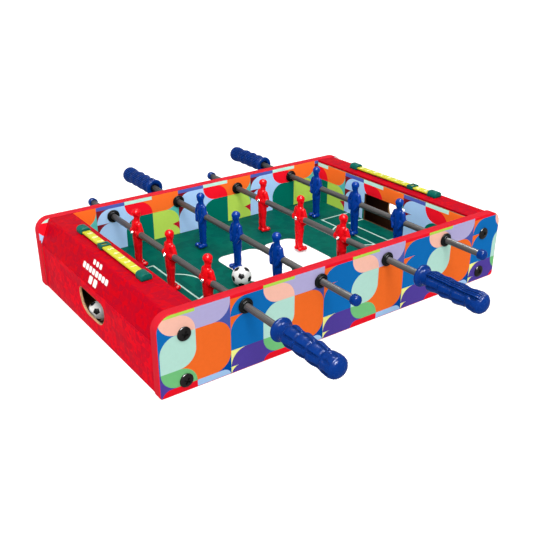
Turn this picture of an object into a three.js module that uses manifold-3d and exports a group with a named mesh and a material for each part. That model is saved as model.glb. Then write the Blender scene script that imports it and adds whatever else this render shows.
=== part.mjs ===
// A tabletop football game: two printed side panels, a pitch with a goal at each end, four rods of players,
// and a score rail on each end deck. Millimetres, +Z up. The origin is in the middle of the underside,
// +X runs along the table towards its right end, and -Y is the front, where rods 1 and 3 have their handles.

import * as THREE from 'three';
import { mergeVertices } from 'three/addons/utils/BufferGeometryUtils.js';
import Module from 'manifold-3d';

const manifoldLibrary = await Module();
manifoldLibrary.setup();

// Driving dimensions
const TABLE_LENGTH = 512;
const TABLE_WIDTH = 333;
const PANEL_HEIGHT = 94;
const PANEL_THICKNESS = 12;
const PANEL_TOP_RADIUS = 18;
const PANEL_FOOT_RADIUS = 4;
const BOARD = 3; // every thin board: playfield, base, goal walls, end walls and end covers
const FIT_GAP = 0.3; // between pieces that lie against each other
const RUNNING_GAP = 0.4; // between a piece that moves and what guides it

const PITCH_LENGTH = 414; // from one goal wall's face to the other's
const PITCH_TOP = 27.2;
const PITCH_GROOVE_DEPTH = 4; // how far the playfield's long edges sit in the side panels
const GOAL_WIDTH = 83;
const GOAL_TOP = 68;

const DECK_TOP = PANEL_HEIGHT - 0.6;
const DECK_OUTER_X = 240; // where the deck turns down into the slope
const END_FACE_X = 253.5; // the side panels stand a little past the end walls
const END_WALL_TOP = 61;
const END_WALL_BOTTOM = 0.5;
const RETURN_HOLE = { width: 68, bottom: 19.3, top: 50, bottomRadius: 21.5, topRadius: 8 };
const CORNER_BLOCK = { length: 27, width: 20 };

const ROD_SPACING = 101;
const ROD_HEIGHT = 77;
const ROD_RADIUS = 4;
const ROD_WALL = 1;
const BUSHING = { flangeRadius: 8.75, flange: 2.6, hubRadius: 6.1, hub: 3.6, sleeveRadius: 6.6 };

const CAP = { radius: 6.2, length: 9.5, wall: 2.5 };
const CAP_START = 222.5; // from the table's centre line to the inner end of a cap, with the rod centred
const HANDLE_START = 223; // the same for a handle's inner end
const HANDLE = {
  length: 91.5, boreDepth: 58, flangeRadius: 13.3, neckRadius: 9.2, gripRadius: 11.2, gripStart: 18, gripEnd: 66,
  ballRadius: 12.3, ballMiddle: 82,
};
const PLAYER_SPACING = 87;

const BOLT = {
  headRadius: 8, headHeight: 3.2, shankRadius: 2.5, shankLength: 28, recessWidth: 1.8, recessLength: 7.6,
};
const BOLT_FROM_END = 30.8;
const BOLT_HEIGHTS = { lower: 13.5, upper: 68 };

const BALL_RADIUS = 12.5;
const RAIL = { width: 10.4, thickness: 2.8, length: 176, capLength: 15, capWidth: 13.4, capHeight: 7.8, capRadius: 5 };
const SLIDER = { length: 11, wall: 1, windowLength: 2.6, windowWidth: 6.4 };

// Where things lie at rest
const RODS = [
  { team: 'red', handleSide: -1, shift: -4.5 },
  { team: 'blue', handleSide: 1, shift: 1.6 },
  { team: 'red', handleSide: -1, shift: 1.2 },
  { team: 'blue', handleSide: 1, shift: 2 },
];
const PITCH_BALL = { x: -72.5, y: -41 };
const TRAY_BALL_Y = 21;
const RAIL_PLACE = { left: [-222, 2], right: [225.5, 3.5] }; // the rails are stuck on by hand, not quite alike
const SLIDER_Y = { left: 22, right: -36 };

const HALF_LENGTH = TABLE_LENGTH / 2;
const OUTER_Y = TABLE_WIDTH / 2;
const INNER_Y = OUTER_Y - PANEL_THICKNESS;
const GOAL_FACE_X = PITCH_LENGTH / 2;
const DECK_UNDERSIDE = DECK_TOP - BOARD;
const BETWEEN_PANELS = 2 * (INNER_Y - FIT_GAP);
const CUT_MARGIN = 5; // how far a cutter runs past what it cuts

// Flats around the round pieces
const BOLT_SIDES = 12;
const BUSHING_SIDES = 12;
const ROD_SIDES = 12;
const CAP_SIDES = 12;
const HANDLE_SIDES = 16;
const TRUNK_SIDES = 10;

const material = (color, roughness, metalness = 0) => new THREE.MeshStandardMaterial({ color, roughness, metalness });
const MATERIALS = {
  panel: material(0xd8202c, 0.35),
  redBoard: material(0xd0142a, 0.4),
  goalWall: material(0x9cbfe4, 0.4),
  pitch: material(0x02685b, 0.5),
  rawBoard: material(0x8a6844, 0.85),
  steel: material(0x6c6c6c, 0.3, 1),
  blackPlastic: material(0x17181a, 0.45),
  red: material(0xd8101c, 0.3),
  blue: material(0x07388c, 0.3),
  yellow: material(0xdcd53c, 0.4),
  green: material(0x03705f, 0.4),
  ball: material(0xf2f2f2, 0.35),
};

const table = new THREE.Group();

// Solids

function toManifold(geometry) {
  const bare = geometry.clone();
  bare.deleteAttribute('normal');
  bare.deleteAttribute('uv');
  const merged = mergeVertices(bare, 1e-4);
  return new manifoldLibrary.Manifold(
    new manifoldLibrary.Mesh({
      numProp: 3,
      vertProperties: new Float32Array(merged.attributes.position.array),
      triVerts: new Uint32Array(merged.index.array),
    }),
  );
}

function toGeometry(solid) {
  const mesh = solid.getMesh();
  const geometry = new THREE.BufferGeometry();
  geometry.setAttribute('position', new THREE.BufferAttribute(new Float32Array(mesh.vertProperties), 3));
  geometry.setIndex(new THREE.BufferAttribute(new Uint32Array(mesh.triVerts), 1));
  geometry.computeVertexNormals();
  return geometry;
}

// The first geometry, joined with the ones to add, less the ones to cut away.
function combine(base, add, cut) {
  let solid = toManifold(base);
  for (const piece of add) solid = solid.add(toManifold(piece));
  for (const piece of cut) solid = solid.subtract(toManifold(piece));
  return toGeometry(solid);
}

// A box between two opposite corners.
function boxBetween(low, high) {
  const size = high.map((value, i) => value - low[i]);
  const middle = high.map((value, i) => (value + low[i]) / 2);
  return new THREE.BoxGeometry(...size).translate(...middle);
}

// A prism of an outline drawn in X and Z, between two places along Y.
function alongY(shape, startY, endY, curveSegments = 6) {
  const settings = { depth: endY - startY, bevelEnabled: false, curveSegments };
  return new THREE.ExtrudeGeometry(shape, settings).rotateX(Math.PI / 2).translate(0, endY, 0);
}

// A prism of an outline drawn in Y and Z, between two places along X.
function alongX(shape, startX, endX, curveSegments = 6) {
  const settings = { depth: endX - startX, bevelEnabled: false, curveSegments };
  return new THREE.ExtrudeGeometry(shape, settings).rotateX(Math.PI / 2).rotateZ(Math.PI / 2).translate(startX, 0, 0);
}

// A turned piece about the Y axis. The profile's points are [radius, distance along +Y].
function turned(profile, segments) {
  const points = profile.map(([radius, along]) => new THREE.Vector2(radius, along));
  return new THREE.LatheGeometry(points, segments);
}

// A cylinder along Y whose flats, not its corners, are at the radius: a hole that clears a round shaft.
function holeAlongY(radius, startY, endY, segments) {
  const cornerRadius = radius / Math.cos(Math.PI / segments);
  const middle = (startY + endY) / 2;
  return new THREE.CylinderGeometry(cornerRadius, cornerRadius, endY - startY, segments).translate(0, middle, 0);
}

function polygon(points) {
  return new THREE.Shape(points.map(([x, y]) => new THREE.Vector2(x, y)));
}

// A rectangle whose four corners are rounded, with one radius at the top and one at the bottom.
function roundedRectangle(left, bottom, right, top, bottomRadius, topRadius) {
  const shape = new THREE.Shape();
  shape.moveTo(left + bottomRadius, bottom);
  shape.lineTo(right - bottomRadius, bottom);
  shape.absarc(right - bottomRadius, bottom + bottomRadius, bottomRadius, -Math.PI / 2, 0);
  shape.lineTo(right, top - topRadius);
  shape.absarc(right - topRadius, top - topRadius, topRadius, 0, Math.PI / 2);
  shape.lineTo(left + topRadius, top);
  shape.absarc(left + topRadius, top - topRadius, topRadius, Math.PI / 2, Math.PI);
  shape.lineTo(left, bottom + bottomRadius);
  shape.absarc(left + bottomRadius, bottom + bottomRadius, bottomRadius, Math.PI, 1.5 * Math.PI);
  return shape;
}

function place(name, geometry, finish, position = [0, 0, 0], turn = 0) {
  const mesh = new THREE.Mesh(geometry, finish);
  mesh.name = name;
  mesh.position.set(...position);
  mesh.rotation.z = turn;
  table.add(mesh);
}

const rodX = (index) => (index - 1.5) * ROD_SPACING;
const sides = [
  { name: 'left', sign: -1 },
  { name: 'right', sign: 1 },
];
const faces = [
  { name: 'front', sign: -1 },
  { name: 'rear', sign: 1 },
];

// Side panels: a groove holds the playfield, and there are holes for the bushings and the bolts.

function sidePanel(sign) {
  const outline = roundedRectangle(
    -HALF_LENGTH, 0, HALF_LENGTH, PANEL_HEIGHT, PANEL_FOOT_RADIUS, PANEL_TOP_RADIUS,
  );
  const [nearY, farY] = [sign * INNER_Y, sign * OUTER_Y].sort((a, b) => a - b);
  const throughY = [nearY - CUT_MARGIN, farY + CUT_MARGIN];
  const cuts = RODS.map((rod, index) =>
    holeAlongY(BUSHING.sleeveRadius + RUNNING_GAP, ...throughY, BUSHING_SIDES).translate(rodX(index), 0, ROD_HEIGHT),
  );
  for (const side of sides) {
    for (const height of Object.values(BOLT_HEIGHTS)) {
      const boltX = side.sign * (HALF_LENGTH - BOLT_FROM_END);
      cuts.push(holeAlongY(BOLT.shankRadius + FIT_GAP, ...throughY, BOLT_SIDES).translate(boltX, 0, height));
    }
  }
  const grooveY = [sign * (INNER_Y - CUT_MARGIN), sign * (INNER_Y + PITCH_GROOVE_DEPTH)].sort((a, b) => a - b);
  cuts.push(
    boxBetween(
      [-GOAL_FACE_X, grooveY[0], PITCH_TOP - BOARD - FIT_GAP],
      [GOAL_FACE_X, grooveY[1], PITCH_TOP + FIT_GAP],
    ),
  );
  return combine(alongY(outline, nearY, farY), [], cuts);
}

for (const face of faces) {
  place(`${face.name}_side_panel`, sidePanel(face.sign), MATERIALS.panel);
}

// Playfield and base

const playfieldHalf = [GOAL_FACE_X - FIT_GAP, INNER_Y + PITCH_GROOVE_DEPTH - FIT_GAP];
place(
  'playfield_board',
  boxBetween(
    [-playfieldHalf[0], -playfieldHalf[1], PITCH_TOP - BOARD],
    [playfieldHalf[0], playfieldHalf[1], PITCH_TOP],
  ),
  MATERIALS.pitch,
);

const baseHalf = [END_FACE_X - BOARD - FIT_GAP, BETWEEN_PANELS / 2];
place(
  'base_board',
  boxBetween([-baseHalf[0], -baseHalf[1], 0], [baseHalf[0], baseHalf[1], BOARD]),
  MATERIALS.rawBoard,
);

// Ends: the cover is the deck and the slope, mitred into one piece.

function endCover(sign) {
  const slopeRun = END_FACE_X - DECK_OUTER_X;
  const slopeDrop = DECK_TOP - END_WALL_TOP;
  const slopeLevelWidth = (BOARD * Math.hypot(slopeRun, slopeDrop)) / slopeDrop;
  const innerTurnX = DECK_OUTER_X + (slopeRun * BOARD) / slopeDrop - slopeLevelWidth;
  const outline = polygon([
    [sign * GOAL_FACE_X, DECK_TOP],
    [sign * DECK_OUTER_X, DECK_TOP],
    [sign * END_FACE_X, END_WALL_TOP],
    [sign * (END_FACE_X - slopeLevelWidth), END_WALL_TOP],
    [sign * innerTurnX, DECK_UNDERSIDE],
    [sign * GOAL_FACE_X, DECK_UNDERSIDE],
  ]);
  return alongY(outline, -BETWEEN_PANELS / 2, BETWEEN_PANELS / 2);
}

function endWall(sign) {
  const outline = polygon([
    [-BETWEEN_PANELS / 2, END_WALL_BOTTOM],
    [BETWEEN_PANELS / 2, END_WALL_BOTTOM],
    [BETWEEN_PANELS / 2, END_WALL_TOP - FIT_GAP],
    [-BETWEEN_PANELS / 2, END_WALL_TOP - FIT_GAP],
  ]);
  const { width, bottom, top, bottomRadius, topRadius } = RETURN_HOLE;
  outline.holes.push(roundedRectangle(-width / 2, bottom, width / 2, top, bottomRadius, topRadius));
  const [startX, endX] = [sign * (END_FACE_X - BOARD), sign * END_FACE_X].sort((a, b) => a - b);
  return alongX(outline, startX, endX);
}

function goalWall(sign) {
  const bottom = BOARD + FIT_GAP;
  const top = DECK_UNDERSIDE - FIT_GAP;
  const sill = PITCH_TOP - FIT_GAP;
  const outline = polygon([
    [-BETWEEN_PANELS / 2, bottom],
    [BETWEEN_PANELS / 2, bottom],
    [BETWEEN_PANELS / 2, top],
    [-BETWEEN_PANELS / 2, top],
  ]);
  outline.holes.push(
    polygon([
      [-GOAL_WIDTH / 2, sill],
      [GOAL_WIDTH / 2, sill],
      [GOAL_WIDTH / 2, GOAL_TOP],
      [-GOAL_WIDTH / 2, GOAL_TOP],
    ]),
  );
  const [startX, endX] = [sign * GOAL_FACE_X, sign * (GOAL_FACE_X + BOARD)].sort((a, b) => a - b);
  return alongX(outline, startX, endX);
}

function cornerBlock(sideSign, faceSign) {
  const startX = GOAL_FACE_X + BOARD + FIT_GAP;
  const [lowX, highX] = [sideSign * startX, sideSign * (startX + CORNER_BLOCK.length)].sort((a, b) => a - b);
  const outerFaceY = INNER_Y - FIT_GAP;
  const [lowY, highY] = [faceSign * (outerFaceY - CORNER_BLOCK.width), faceSign * outerFaceY].sort((a, b) => a - b);
  const block = boxBetween([lowX, lowY, BOARD + FIT_GAP], [highX, highY, DECK_UNDERSIDE - FIT_GAP]);
  const boltX = sideSign * (HALF_LENGTH - BOLT_FROM_END);
  const holes = Object.values(BOLT_HEIGHTS).map((height) =>
    holeAlongY(BOLT.shankRadius + FIT_GAP, lowY - CUT_MARGIN, highY + CUT_MARGIN, BOLT_SIDES)
      .translate(boltX, 0, height),
  );
  return combine(block, [], holes);
}

for (const side of sides) {
  place(`${side.name}_end_cover`, endCover(side.sign), MATERIALS.redBoard);
  place(`${side.name}_end_wall`, endWall(side.sign), MATERIALS.redBoard);
  place(`${side.name}_goal_wall`, goalWall(side.sign), MATERIALS.goalWall);
  for (const face of faces) {
    place(`${face.name}_${side.name}_corner_block`, cornerBlock(side.sign, face.sign), MATERIALS.rawBoard);
  }
}

// Panel bolts: a low domed head with a cross recess, and a shank into the corner block.

function panelBolt() {
  const { headRadius, headHeight, shankRadius, shankLength } = BOLT;
  const body = turned([
    [0, -headHeight],
    [headRadius * 0.6, -headHeight],
    [headRadius * 0.9, -headHeight * 0.75],
    [headRadius, -headHeight * 0.35],
    [headRadius, -FIT_GAP],
    [shankRadius, -FIT_GAP],
    [shankRadius, shankLength],
    [0, shankLength],
  ], BOLT_SIDES);
  const [halfLength, halfWidth] = [BOLT.recessLength / 2, BOLT.recessWidth / 2];
  const [recessTop, recessFloor] = [-headHeight - 1, -headHeight * 0.5];
  const cross = [
    boxBetween([-halfLength, recessTop, -halfWidth], [halfLength, recessFloor, halfWidth]),
    boxBetween([-halfWidth, recessTop, -halfLength], [halfWidth, recessFloor, halfLength]),
  ];
  return combine(body, [], cross);
}

for (const side of sides) {
  for (const face of faces) {
    for (const [level, height] of Object.entries(BOLT_HEIGHTS)) {
      const position = [side.sign * (HALF_LENGTH - BOLT_FROM_END), face.sign * OUTER_Y, height];
      const turn = face.sign < 0 ? 0 : Math.PI;
      place(`${face.name}_${side.name}_${level}_bolt`, panelBolt(), MATERIALS.blackPlastic, position, turn);
    }
  }
}

// Bushings: a sleeve through the panel with a flange and a small hub on each face.

function bushing() {
  const bore = (ROD_RADIUS + RUNNING_GAP) / Math.cos(Math.PI / BUSHING_SIDES);
  const halfPanel = PANEL_THICKNESS / 2 + FIT_GAP;
  const flangeFace = halfPanel + BUSHING.flange;
  const hubFace = halfPanel + BUSHING.hub;
  return turned([
    [bore, -hubFace],
    [BUSHING.hubRadius, -hubFace],
    [BUSHING.hubRadius, -flangeFace],
    [BUSHING.flangeRadius, -flangeFace],
    [BUSHING.flangeRadius, -halfPanel],
    [BUSHING.sleeveRadius, -halfPanel],
    [BUSHING.sleeveRadius, halfPanel],
    [BUSHING.flangeRadius, halfPanel],
    [BUSHING.flangeRadius, flangeFace],
    [BUSHING.hubRadius, flangeFace],
    [BUSHING.hubRadius, hubFace],
    [bore, hubFace],
    [bore, -hubFace],
  ], BUSHING_SIDES);
}

// Rods: steel tubes, with a handle on one end and a cap on the other.

function rodTube(length) {
  const inner = ROD_RADIUS - ROD_WALL;
  return turned([
    [inner, -length / 2],
    [ROD_RADIUS, -length / 2],
    [ROD_RADIUS, length / 2],
    [inner, length / 2],
    [inner, -length / 2],
  ], ROD_SIDES);
}

// Both fit over the end of the rod, and run along +Y from their inner end.
function endCap() {
  const bore = (ROD_RADIUS + FIT_GAP) / Math.cos(Math.PI / CAP_SIDES);
  const { radius, length, wall } = CAP;
  return turned([
    [bore, 0],
    [radius - 0.4, 0],
    [radius, 0.4],
    [radius, length - 3],
    [radius * 0.87, length - 1.5],
    [radius * 0.55, length - 0.4],
    [0, length],
    [0, length - wall],
    [bore, length - wall],
    [bore, 0],
  ], CAP_SIDES);
}

function handle() {
  const bore = (ROD_RADIUS + FIT_GAP) / Math.cos(Math.PI / HANDLE_SIDES);
  const { length, boreDepth, flangeRadius, neckRadius, gripRadius, gripStart, gripEnd } = HANDLE;
  const { ballRadius, ballMiddle } = HANDLE;
  return turned([
    [bore, 0],
    [flangeRadius - 0.8, 0],
    [flangeRadius, 1],
    [flangeRadius, 4],
    [neckRadius, 7.5],
    [neckRadius, gripStart - 6],
    [gripRadius, gripStart],
    [gripRadius, gripEnd],
    [gripRadius - 0.3, gripEnd + 4.5],
    [ballRadius - 0.3, ballMiddle - 5.5],
    [ballRadius, ballMiddle],
    [ballRadius - 1.3, ballMiddle + 5.6],
    [ballRadius * 0.55, length - 0.7],
    [0, length],
    [0, boreDepth],
    [bore, boreDepth],
    [bore, 0],
  ], HANDLE_SIDES);
}

// A player: the rod passes through the chest. The feet point along +X, and the middle of the rod is at the origin.

const PLAYER = {
  headTop: 31.5, headRadius: 5.7, headForward: 1.2, neckRadius: 3.6, shoulder: 14.5, shoulderHalf: 8.8,
  elbow: 0.5, elbowHalf: 13.3, chestDepth: 6, waist: -10, waistHalf: 8.4, hipDepth: 5.4, knee: -30, legHalf: 6.2,
  legDepth: 4, ankle: -41, ankleHalf: 6, sole: -47.8, footHalf: 8.2, toe: 10.2, heel: -4.5,
};

// A closed loft through level ovals: [height, half width in Y, half depth in X, shift in X].
function loftedOvals(levels, segments) {
  const positions = [];
  const indices = [];
  for (const [height, halfWidth, halfDepth, shift] of levels) {
    for (let i = 0; i < segments; i++) {
      const angle = (i / segments) * 2 * Math.PI;
      positions.push(shift + halfDepth * Math.cos(angle), halfWidth * Math.sin(angle), height);
    }
  }
  for (let level = 0; level + 1 < levels.length; level++) {
    for (let i = 0; i < segments; i++) {
      const [a, b] = [level * segments + i, level * segments + ((i + 1) % segments)];
      indices.push(a, b, b + segments, a, b + segments, a + segments);
    }
  }
  const topStart = (levels.length - 1) * segments;
  for (let i = 1; i + 1 < segments; i++) {
    indices.push(0, i + 1, i, topStart, topStart + i, topStart + i + 1);
  }
  const geometry = new THREE.BufferGeometry();
  geometry.setAttribute('position', new THREE.Float32BufferAttribute(positions, 3));
  geometry.setIndex(indices);
  return geometry;
}

function playerBody() {
  const p = PLAYER;
  const trunk = loftedOvals([
    [p.ankle, p.ankleHalf, p.legDepth, 0],
    [p.knee, p.legHalf, p.legDepth, 0],
    [p.waist, p.waistHalf, p.hipDepth, 0],
    [p.elbow - 4.5, p.elbowHalf - 1, p.chestDepth, 0],
    [p.elbow, p.elbowHalf, p.chestDepth, 0],
    [p.elbow + 5, p.elbowHalf - 1.2, p.chestDepth, 0],
    [p.shoulder - 2.5, p.shoulderHalf + 0.6, p.chestDepth - 0.6, 0],
    [p.shoulder, p.shoulderHalf - 1.6, p.chestDepth - 1.4, 0.2],
    [p.shoulder + 2.6, p.neckRadius + 0.8, p.neckRadius + 0.4, 0.4],
    [p.headTop - 2 * p.headRadius + 1.5, p.neckRadius, p.neckRadius, 0.8],
  ], TRUNK_SIDES);
  const head = new THREE.SphereGeometry(p.headRadius, 8, 6)
    .rotateX(Math.PI / 2)
    .translate(p.headForward, 0, p.headTop - p.headRadius);
  const footSide = polygon([
    [p.heel, p.sole + 1],
    [p.heel + 1, p.sole],
    [p.toe - 2, p.sole],
    [p.toe, p.sole + 2.4],
    [p.toe - 1.4, p.sole + 5.4],
    [p.legDepth, p.ankle + 1],
    [-p.legDepth, p.ankle + 1],
  ]);
  const feet = alongY(footSide, -p.footHalf, p.footHalf);
  const rodHole = holeAlongY(ROD_RADIUS + FIT_GAP, -2 * p.elbowHalf, 2 * p.elbowHalf, ROD_SIDES);
  return combine(trunk, [head, feet], [rodHole]);
}

const rodInsideHandle = HANDLE.boreDepth - 2;
const rodInsideCap = CAP.length - CAP.wall - 1;

RODS.forEach(({ team, handleSide, shift }, index) => {
  const rodName = `rod_${index + 1}`;
  const x = rodX(index);
  for (const face of faces) {
    const middleY = face.sign * (OUTER_Y - PANEL_THICKNESS / 2);
    place(`${rodName}_${face.name}_bushing`, bushing(), MATERIALS.blackPlastic, [x, middleY, ROD_HEIGHT]);
  }
  const handleEnd = HANDLE_START + rodInsideHandle;
  const capEnd = CAP_START + rodInsideCap;
  const rodMiddleY = shift + (handleSide * (handleEnd - capEnd)) / 2;
  place(rodName, rodTube(handleEnd + capEnd), MATERIALS.steel, [x, rodMiddleY, ROD_HEIGHT]);

  const outwards = (side) => (side > 0 ? 0 : Math.PI);
  const handleY = shift + handleSide * HANDLE_START;
  place(`${rodName}_handle`, handle(), MATERIALS.blue, [x, handleY, ROD_HEIGHT], outwards(handleSide));
  const capY = shift - handleSide * CAP_START;
  place(`${rodName}_end_cap`, endCap(), MATERIALS.blue, [x, capY, ROD_HEIGHT], outwards(-handleSide));

  const facing = team === 'red' ? 0 : Math.PI;
  for (const [number, slot] of [-1, 0, 1].entries()) {
    const position = [x, shift + slot * PLAYER_SPACING, ROD_HEIGHT];
    place(`${rodName}_player_${number + 1}`, playerBody(), MATERIALS[team], position, facing);
  }
});

// Score rails: a bar between two end caps, and a slider that wraps around the bar.

const railFloor = DECK_TOP + FIT_GAP;
const barBottom = railFloor + SLIDER.wall + RUNNING_GAP; // the slider's floor passes under the bar

function scoreRail() {
  const barHalf = (RAIL.length - RAIL.capLength) / 2;
  const bar = boxBetween(
    [-RAIL.width / 2, -barHalf, barBottom],
    [RAIL.width / 2, barHalf, barBottom + RAIL.thickness],
  );
  const arch = roundedRectangle(
    -RAIL.capWidth / 2, railFloor, RAIL.capWidth / 2, railFloor + RAIL.capHeight, 0.5, RAIL.capRadius,
  );
  const caps = [-1, 1].map((end) => {
    const [innerY, outerY] = [end * (RAIL.length / 2 - RAIL.capLength), (end * RAIL.length) / 2];
    return alongY(arch, Math.min(innerY, outerY), Math.max(innerY, outerY), 4);
  });
  return combine(bar, caps, []);
}

function scoreSlider() {
  const insideHalf = RAIL.width / 2 + RUNNING_GAP;
  const outsideHalf = insideHalf + SLIDER.wall;
  const insideBottom = barBottom - RUNNING_GAP;
  const insideTop = barBottom + RAIL.thickness + RUNNING_GAP;
  const [windowX, windowY] = [SLIDER.windowWidth / 2, SLIDER.windowLength / 2];
  const halfLength = SLIDER.length / 2;
  return combine(
    boxBetween([-outsideHalf, -halfLength, railFloor], [outsideHalf, halfLength, insideTop + SLIDER.wall]),
    [],
    [
      boxBetween(
        [-insideHalf, -halfLength - CUT_MARGIN, insideBottom],
        [insideHalf, halfLength + CUT_MARGIN, insideTop],
      ),
      boxBetween([-windowX, -windowY, insideTop - 1], [windowX, windowY, insideTop + SLIDER.wall + CUT_MARGIN]),
    ],
  );
}

for (const side of sides) {
  const [railX, railY] = RAIL_PLACE[side.name];
  place(`${side.name}_score_rail`, scoreRail(), MATERIALS.yellow, [railX, railY, 0]);
  place(`${side.name}_score_slider`, scoreSlider(), MATERIALS.green, [railX, SLIDER_Y[side.name], 0]);
}

// Footballs

function football() {
  const sphere = new THREE.IcosahedronGeometry(BALL_RADIUS, 3);
  sphere.deleteAttribute('normal');
  sphere.deleteAttribute('uv');
  return mergeVertices(sphere, 1e-4);
}

const trayBallX = -(END_FACE_X - BOARD - FIT_GAP - BALL_RADIUS);
const pitchBallPosition = [PITCH_BALL.x, PITCH_BALL.y, PITCH_TOP + FIT_GAP + BALL_RADIUS];
const trayBallPosition = [trayBallX, TRAY_BALL_Y, BOARD + FIT_GAP + BALL_RADIUS];
place('pitch_ball', football(), MATERIALS.ball, pitchBallPosition);
place('tray_ball', football(), MATERIALS.ball, trayBallPosition);

export default table;
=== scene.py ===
"""The looks of a tabletop football game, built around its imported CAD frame.

Shapes are drawn in millimetres in the frame's own axes and turned into metres as each mesh is made.
Places come from the boxes of the CAD nodes. A piece that shows a CAD node in detail is named NODE_detail.
"""

import math

import bmesh
import bpy
import numpy as np
from mathutils import Matrix, Quaternion, Vector
from mathutils.geometry import delaunay_2d_cdt


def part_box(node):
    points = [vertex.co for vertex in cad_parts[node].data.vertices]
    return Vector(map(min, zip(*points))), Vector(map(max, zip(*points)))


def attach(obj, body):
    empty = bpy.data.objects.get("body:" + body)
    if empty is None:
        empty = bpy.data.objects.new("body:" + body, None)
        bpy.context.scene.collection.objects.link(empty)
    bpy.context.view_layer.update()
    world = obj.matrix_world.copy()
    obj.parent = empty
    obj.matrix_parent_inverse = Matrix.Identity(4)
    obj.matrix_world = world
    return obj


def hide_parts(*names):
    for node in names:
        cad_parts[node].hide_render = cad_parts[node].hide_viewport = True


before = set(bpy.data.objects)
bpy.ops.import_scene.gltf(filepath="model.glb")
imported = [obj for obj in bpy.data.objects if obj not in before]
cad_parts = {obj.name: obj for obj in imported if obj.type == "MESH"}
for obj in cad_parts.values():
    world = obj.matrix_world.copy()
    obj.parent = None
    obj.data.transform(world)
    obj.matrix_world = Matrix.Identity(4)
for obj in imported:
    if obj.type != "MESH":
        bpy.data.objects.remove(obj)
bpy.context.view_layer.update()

MM = 0.001
WELD = 0.000002  # metres; points closer than this are one

# Camera, from the middle of what it looks at
CAMERA_TARGET = Vector((-0.0309735, -0.0358169, 0.040))
CAMERA_AZIMUTH = math.radians(-35.5351)
CAMERA_ELEVATION = math.radians(24.7584)
CAMERA_ROLL = math.radians(-0.0706)
CAMERA_DISTANCE = 0.9403172
CAMERA_LENS = 49.7252

TEAMS = ("red", "blue", "red", "blue")
SIDES = (("left", -1), ("right", 1))
FACES = (("front", -1), ("rear", 1))
FACING = {True: Matrix.Identity(4), False: Matrix.Rotation(math.pi, 4, "Z")}  # as drawn, or turned about

# Printed colours, as they look in plain white light, 0 to 255
INKS = {
    "blue": (14, 105, 178),
    "orange": (238, 105, 38),
    "lavender": (176, 169, 211),
    "peach": (246, 188, 169),
    "mint": (178, 220, 206),
    "lime": (178, 215, 80),
    "leaf": (112, 189, 121),
    "purple": (79, 61, 150),
    "indigo": (72, 88, 166),
    "navy": (0, 69, 148),
    "straw": (237, 237, 140),
    "sky": (160, 194, 232),
    "red": (232, 20, 38),
    "maroon": (115, 23, 36),
    "teal": (80, 178, 170),
    "forest": (0, 103, 87),
    "grass": (174, 208, 83),
    "edge_red": (220, 34, 50),
    "cover_red": (212, 0, 20),
    "wall_red": (242, 6, 32),
    "pitch": (0, 106, 90),
    "line": (205, 240, 228),
    "white": (250, 250, 248),
    "board_brown": (92, 60, 42),
    "maroon_red": (176, 22, 44),
}


def box_mm(node):
    """The lowest and highest corner of a CAD node, in millimetres."""
    low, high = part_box(node)
    return low / MM, high / MM


def linear(colour):
    """A display colour, 0 to 255, as the linear colour that a shader takes."""
    channels = []
    for value in colour:
        share = value / 255
        channels.append(share / 12.92 if share <= 0.04045 else ((share + 0.055) / 1.055) ** 2.4)
    return (*channels, 1.0)


# Materials


class Nodes:
    """Short calls that add the nodes of a tree and join them."""

    def __init__(self, owner):
        owner.use_nodes = True
        self.tree = owner.node_tree

    def set(self, node, inputs):
        for key, value in inputs.items():
            if isinstance(value, bpy.types.NodeSocket):
                self.link(value, node.inputs[key])
            else:
                node.inputs[key].default_value = value

    def add(self, kind, inputs=None, **settings):
        node = self.tree.nodes.new(kind)
        for key, value in settings.items():
            setattr(node, key, value)
        self.set(node, inputs or {})
        return node

    def link(self, source, target):
        self.tree.links.new(source, target)

    def vector(self, operation, first, second=None, scale=None):
        inputs = {0: first, 1: second, "Scale": scale}
        given = {key: value for key, value in inputs.items() if value is not None}
        node = self.add("ShaderNodeVectorMath", given, operation=operation)
        return node.outputs["Value" if operation in ("LENGTH", "DOT_PRODUCT") else "Vector"]

    def math(self, operation, first, second=0.0):
        return self.add("ShaderNodeMath", {0: first, 1: second}, operation=operation).outputs[0]

    def between(self, value, low, high, to_low=0.0, to_high=1.0, **settings):
        inputs = {"Value": value, "From Min": low, "From Max": high, "To Min": to_low, "To Max": to_high}
        return self.add("ShaderNodeMapRange", inputs, **settings).outputs["Result"]


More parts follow.
